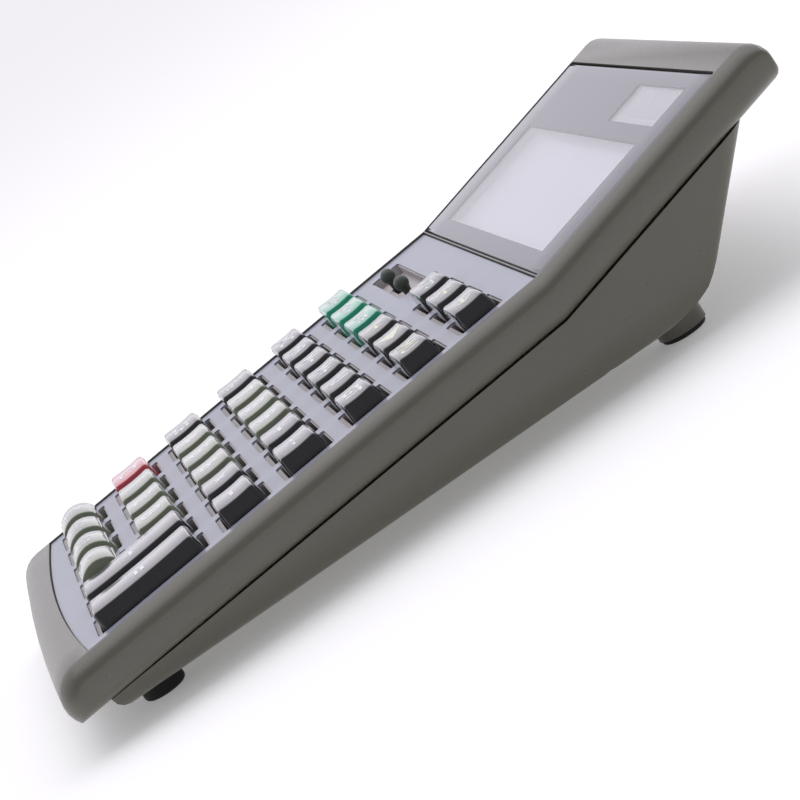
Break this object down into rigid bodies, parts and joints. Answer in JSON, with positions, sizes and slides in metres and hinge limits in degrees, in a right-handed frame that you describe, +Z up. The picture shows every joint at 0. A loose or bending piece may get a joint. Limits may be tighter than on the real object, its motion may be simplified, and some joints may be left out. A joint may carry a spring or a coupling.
{
  "type": "desktop calculator",
  "caption": "Wedge-shaped solar and battery desktop calculator with sprung keys, slide switches and a fixed raised display.",
  "frame": {"origin": "centre of the bounding box in plan, at the undersides of the feet", "axes": "+X to the user's right, +Y from the nose to the display end, +Z up"},
  "size_m": [0.156, 0.2124, 0.051],
  "materials": {
    "olive_case": "moulded ABS, fine satin texture",
    "silver_panel": "silver painted sheet, satin",
    "grey_deck": "moulded ABS, satin",
    "smoked_window": "clear acrylic with a smoked printed border, glossy",
    "lcd": "liquid-crystal glass, glossy",
    "white_plastic": "moulded ABS, satin",
    "solar_cell": "amorphous silicon on glass, glossy",
    "keypad_rubber": "silicone rubber, matt",
    "circuit_board": "glass-fibre board with solder mask, semi-gloss",
    "ribbon": "polyester film, semi-gloss",
    "black_epoxy": "epoxy resin, semi-gloss",
    "steel": "nickel-plated steel",
    "brass": "plated spring brass",
    "foot_rubber": "moulded rubber, matt",
    "wire_cover": "PVC insulation",
    "knob_plastic": "moulded ABS, satin",
    "key_grey_green": "moulded ABS with a clear coat, glossy",
    "key_black": "moulded ABS with a clear coat, glossy",
    "key_green": "moulded ABS with a clear coat, glossy",
    "key_red": "moulded ABS with a clear coat, glossy"
  },
  "bodies": {
    "case": {"top_case": "olive_case", "bottom_case": "olive_case", "battery_door": "olive_case", "key_panel": "silver_panel", "key_deck": "grey_deck", "display_window": "smoked_window", "lcd_glass": "lcd", "lcd_holder": "white_plastic", "solar_cell": "solar_cell", "rubber_keypad": "keypad_rubber", "main_board": "circuit_board", "ribbon": "ribbon", "chip_blob": "black_epoxy", "switch_bodies": "black_epoxy", "coin_cell": "steel", "battery_contacts": "brass", "front_feet": "foot_rubber", "rear_foot_pads": "foot_rubber", "case_screws": "steel", "board_screws": "steel", "power_leads": "wire_cover"},
    "decimal_switch_knob": {"decimal_switch_knob": "knob_plastic"},
    "rounding_switch_knob": {"rounding_switch_knob": "knob_plastic"},
    "key_0": {"key_0": "key_grey_green"},
    "key_00": {"key_00": "key_grey_green"},
    "key_000": {"key_000": "key_grey_green"},
    "key_point": {"key_point": "key_grey_green"},
    "key_1": {"key_1": "key_grey_green"},
    "key_2": {"key_2": "key_grey_green"},
    "key_3": {"key_3": "key_grey_green"},
    "key_4": {"key_4": "key_grey_green"},
    "key_5": {"key_5": "key_grey_green"},
    "key_6": {"key_6": "key_grey_green"},
    "key_7": {"key_7": "key_grey_green"},
    "key_8": {"key_8": "key_grey_green"},
    "key_9": {"key_9": "key_grey_green"},
    "key_clear": {"key_clear": "key_red"},
    "key_tax_minus": {"key_tax_minus": "key_green"},
    "key_tax_plus": {"key_tax_plus": "key_green"},
    "key_rate": {"key_rate": "key_green"},
    "key_plus": {"key_plus": "key_black"},
    "key_equals": {"key_equals": "key_black"},
    "key_clear_entry": {"key_clear_entry": "key_black"},
    "key_multiply": {"key_multiply": "key_black"},
    "key_minus": {"key_minus": "key_black"},
    "key_percent": {"key_percent": "key_black"},
    "key_divide": {"key_divide": "key_black"},
    "key_sign": {"key_sign": "key_black"},
    "key_memory_clear": {"key_memory_clear": "key_black"},
    "key_memory_recall": {"key_memory_recall": "key_black"},
    "key_memory_minus": {"key_memory_minus": "key_black"},
    "key_memory_plus": {"key_memory_plus": "key_black"},
    "key_root": {"key_root": "key_black"},
    "key_grand_total": {"key_grand_total": "key_black"},
    "key_correct": {"key_correct": "key_black"},
    "key_backspace": {"key_backspace": "key_black"},
    "key_mark_up": {"key_mark_up": "key_black"},
    "key_replay": {"key_replay": "key_black"},
    "key_check_back": {"key_check_back": "key_black"},
    "key_check_next": {"key_check_next": "key_black"}
  },
  "joints": [
    {"name": "decimal_switch_slide", "type": "slide", "parent": "case", "child": "decimal_switch_knob", "axis": [1, 0, 0], "range_m": [0, 0.008]},
    {"name": "rounding_switch_slide", "type": "slide", "parent": "case", "child": "rounding_switch_knob", "axis": [1, 0, 0], "range_m": [0, 0.008]},
    {"name": "key_0_press", "type": "slide", "parent": "case", "child": "key_0", "axis": [0, 0.0958, -0.9954], "range_m": [0, 0.002], "stiffness_N_per_m": 300, "springref_m": -0.002, "deforming": ["rubber_keypad"]},
    {"name": "key_00_press", "type": "slide", "parent": "case", "child": "key_00", "axis": [0, 0.0958, -0.9954], "range_m": [0, 0.002], "stiffness_N_per_m": 300, "springref_m": -0.002},
    {"name": "key_000_press", "type": "slide", "parent": "case", "child": "key_000", "axis": [0, 0.0958, -0.9954], "range_m": [0, 0.002], "stiffness_N_per_m": 300, "springref_m": -0.002},
    {"name": "key_point_press", "type": "slide", "parent": "case", "child": "key_point", "axis": [0, 0.0958, -0.9954], "range_m": [0, 0.002], "stiffness_N_per_m": 300, "springref_m": -0.002},
    {"name": "key_1_press", "type": "slide", "parent": "case", "child": "key_1", "axis": [0, 0.0958, -0.9954], "range_m": [0, 0.002], "stiffness_N_per_m": 300, "springref_m": -0.002},
    {"name": "key_2_press", "type": "slide", "parent": "case", "child": "key_2", "axis": [0, 0.0958, -0.9954], "range_m": [0, 0.002], "stiffness_N_per_m": 300, "springref_m": -0.002},
    {"name": "key_3_press", "type": "slide", "parent": "case", "child": "key_3", "axis": [0, 0.0958, -0.9954], "range_m": [0, 0.002], "stiffness_N_per_m": 300, "springref_m": -0.002},
    {"name": "key_4_press", "type": "slide", "parent": "case", "child": "key_4", "axis": [0, 0.0958, -0.9954], "range_m": [0, 0.002], "stiffness_N_per_m": 300, "springref_m": -0.002},
    {"name": "key_5_press", "type": "slide", "parent": "case", "child": "key_5", "axis": [0, 0.0958, -0.9954], "range_m": [0, 0.002], "stiffness_N_per_m": 300, "springref_m": -0.002},
    {"name": "key_6_press", "type": "slide", "parent": "case", "child": "key_6", "axis": [0, 0.0958, -0.9954], "range_m": [0, 0.002], "stiffness_N_per_m": 300, "springref_m": -0.002},
    {"name": "key_7_press", "type": "slide", "parent": "case", "child": "key_7", "axis": [0, 0.0958, -0.9954], "range_m": [0, 0.002], "stiffness_N_per_m": 300, "springref_m": -0.002},
    {"name": "key_8_press", "type": "slide", "parent": "case", "child": "key_8", "axis": [0, 0.0958, -0.9954], "range_m": [0, 0.002], "stiffness_N_per_m": 300, "springref_m": -0.002},
    {"name": "key_9_press", "type": "slide", "parent": "case", "child": "key_9", "axis": [0, 0.0958, -0.9954], "range_m": [0, 0.002], "stiffness_N_per_m": 300, "springref_m": -0.002},
    {"name": "key_clear_press", "type": "slide", "parent": "case", "child": "key_clear", "axis": [0, 0.0958, -0.9954], "range_m": [0, 0.002], "stiffness_N_per_m": 300, "springref_m": -0.002},
    {"name": "key_tax_minus_press", "type": "slide", "parent": "case", "child": "key_tax_minus", "axis": [0, 0.0958, -0.9954], "range_m": [0, 0.002], "stiffness_N_per_m": 300, "springref_m": -0.002},
    {"name": "key_tax_plus_press", "type": "slide", "parent": "case", "child": "key_tax_plus", "axis": [0, 0.0958, -0.9954], "range_m": [0, 0.002], "stiffness_N_per_m": 300, "springref_m": -0.002},
    {"name": "key_rate_press", "type": "slide", "parent": "case", "child": "key_rate", "axis": [0, 0.0958, -0.9954], "range_m": [0, 0.002], "stiffness_N_per_m": 300, "springref_m": -0.002},
    {"name": "key_plus_press", "type": "slide", "parent": "case", "child": "key_plus", "axis": [0, 0.0958, -0.9954], "range_m": [0, 0.002], "stiffness_N_per_m": 300, "springref_m": -0.002},
    {"name": "key_equals_press", "type": "slide", "parent": "case", "child": "key_equals", "axis": [0, 0.0958, -0.9954], "range_m": [0, 0.002], "stiffness_N_per_m": 300, "springref_m": -0.002},
    {"name": "key_clear_entry_press", "type": "slide", "parent": "case", "child": "key_clear_entry", "axis": [0, 0.0958, -0.9954], "range_m": [0, 0.002], "stiffness_N_per_m": 300, "springref_m": -0.002},
    {"name": "key_multiply_press", "type": "slide", "parent": "case", "child": "key_multiply", "axis": [0, 0.0958, -0.9954], "range_m": [0, 0.002], "stiffness_N_per_m": 300, "springref_m": -0.002},
    {"name": "key_minus_press", "type": "slide", "parent": "case", "child": "key_minus", "axis": [0, 0.0958, -0.9954], "range_m": [0, 0.002], "stiffness_N_per_m": 300, "springref_m": -0.002},
    {"name": "key_percent_press", "type": "slide", "parent": "case", "child": "key_percent", "axis": [0, 0.0958, -0.9954], "range_m": [0, 0.002], "stiffness_N_per_m": 300, "springref_m": -0.002},
    {"name": "key_divide_press", "type": "slide", "parent": "case", "child": "key_divide", "axis": [0, 0.0958, -0.9954], "range_m": [0, 0.002], "stiffness_N_per_m": 300, "springref_m": -0.002},
    {"name": "key_sign_press", "type": "slide", "parent": "case", "child": "key_sign", "axis": [0, 0.0958, -0.9954], "range_m": [0, 0.002], "stiffness_N_per_m": 300, "springref_m": -0.002},
    {"name": "key_memory_clear_press", "type": "slide", "parent": "case", "child": "key_memory_clear", "axis": [0, 0.0958, -0.9954], "range_m": [0, 0.002], "stiffness_N_per_m": 300, "springref_m": -0.002},
    {"name": "key_memory_recall_press", "type": "slide", "parent": "case", "child": "key_memory_recall", "axis": [0, 0.0958, -0.9954], "range_m": [0, 0.002], "stiffness_N_per_m": 300, "springref_m": -0.002},
    {"name": "key_memory_minus_press", "type": "slide", "parent": "case", "child": "key_memory_minus", "axis": [0, 0.0958, -0.9954], "range_m": [0, 0.002], "stiffness_N_per_m": 300, "springref_m": -0.002},
    {"name": "key_memory_plus_press", "type": "slide", "parent": "case", "child": "key_memory_plus", "axis": [0, 0.0958, -0.9954], "range_m": [0, 0.002], "stiffness_N_per_m": 300, "springref_m": -0.002},
    {"name": "key_root_press", "type": "slide", "parent": "case", "child": "key_root", "axis": [0, 0.0958, -0.9954], "range_m": [0, 0.002], "stiffness_N_per_m": 300, "springref_m": -0.002},
    {"name": "key_grand_total_press", "type": "slide", "parent": "case", "child": "key_grand_total", "axis": [0, 0.0958, -0.9954], "range_m": [0, 0.002], "stiffness_N_per_m": 300, "springref_m": -0.002},
    {"name": "key_correct_press", "type": "slide", "parent": "case", "child": "key_correct", "axis": [0, 0.0958, -0.9954], "range_m": [0, 0.002], "stiffness_N_per_m": 300, "springref_m": -0.002},
    {"name": "key_backspace_press", "type": "slide", "parent": "case", "child": "key_backspace", "axis": [0, 0.0958, -0.9954], "range_m": [0, 0.002], "stiffness_N_per_m": 300, "springref_m": -0.002},
    {"name": "key_mark_up_press", "type": "slide", "parent": "case", "child": "key_mark_up", "axis": [0, 0.0958, -0.9954], "range_m": [0, 0.002], "stiffness_N_per_m": 300, "springref_m": -0.002},
    {"name": "key_replay_press", "type": "slide", "parent": "case", "child": "key_replay", "axis": [0, 0.0958, -0.9954], "range_m": [0, 0.002], "stiffness_N_per_m": 300, "springref_m": -0.002},
    {"name": "key_check_back_press", "type": "slide", "parent": "case", "child": "key_check_back", "axis": [0, 0.0958, -0.9954], "range_m": [0, 0.002], "stiffness_N_per_m": 300, "springref_m": -0.002},
    {"name": "key_check_next_press", "type": "slide", "parent": "case", "child": "key_check_next", "axis": [0, 0.0958, -0.9954], "range_m": [0, 0.002], "stiffness_N_per_m": 300, "springref_m": -0.002}
  ]
}
